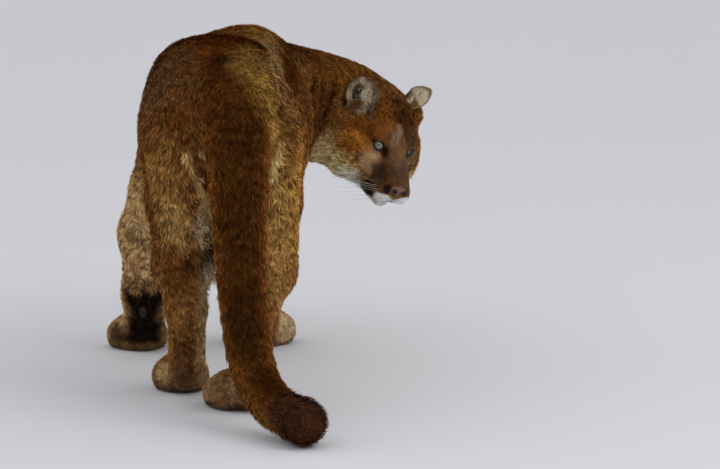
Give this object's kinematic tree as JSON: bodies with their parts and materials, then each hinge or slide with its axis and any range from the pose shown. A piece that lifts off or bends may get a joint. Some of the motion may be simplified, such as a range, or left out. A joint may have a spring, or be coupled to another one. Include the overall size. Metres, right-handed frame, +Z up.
{
  "type": "cougar",
  "caption": "Life-size still model of an adult cougar standing on four paws, back arched, long tail hanging to the ground, head turned back past its right side.",
  "frame": {"origin": "on the ground under the middle of the whole body's box", "axes": "+X to the animal's left, +Y towards its tail, +Z up"},
  "size_m": [0.678, 1.3992, 0.6882],
  "materials": {
    "coat": "short dense fur, reddish brown with a darker line along the back",
    "coat_pale": "short fur, pale tan to cream",
    "coat_dark": "short fur, dark brown",
    "eye": "wet glossy eye with a pale grey-green iris",
    "bare_skin": "bare nose leather, lids, lips and pads, slightly moist",
    "claw": "translucent horn of claws and whiskers"
  },
  "bodies": {
    "root": {"hips": "coat", "belly": "coat", "chest": "coat", "neck": "coat", "head": "coat", "fore_left_upper_arm": "coat", "fore_right_upper_arm": "coat", "hind_left_thigh": "coat", "hind_right_thigh": "coat", "tail_base": "coat", "tail_middle": "coat", "tail_lower": "coat", "ear_left": "coat_pale", "ear_right": "coat_pale", "fore_left_forearm": "coat_pale", "fore_right_forearm": "coat_pale", "hind_left_shank": "coat_pale", "hind_right_shank": "coat_pale", "fore_left_paw": "coat_dark", "fore_right_paw": "coat_dark", "hind_left_paw": "coat_dark", "hind_right_paw": "coat_dark", "tail_tip": "coat_dark", "eye_left": "eye", "eye_right": "eye"}
  },
  "joints": []
}
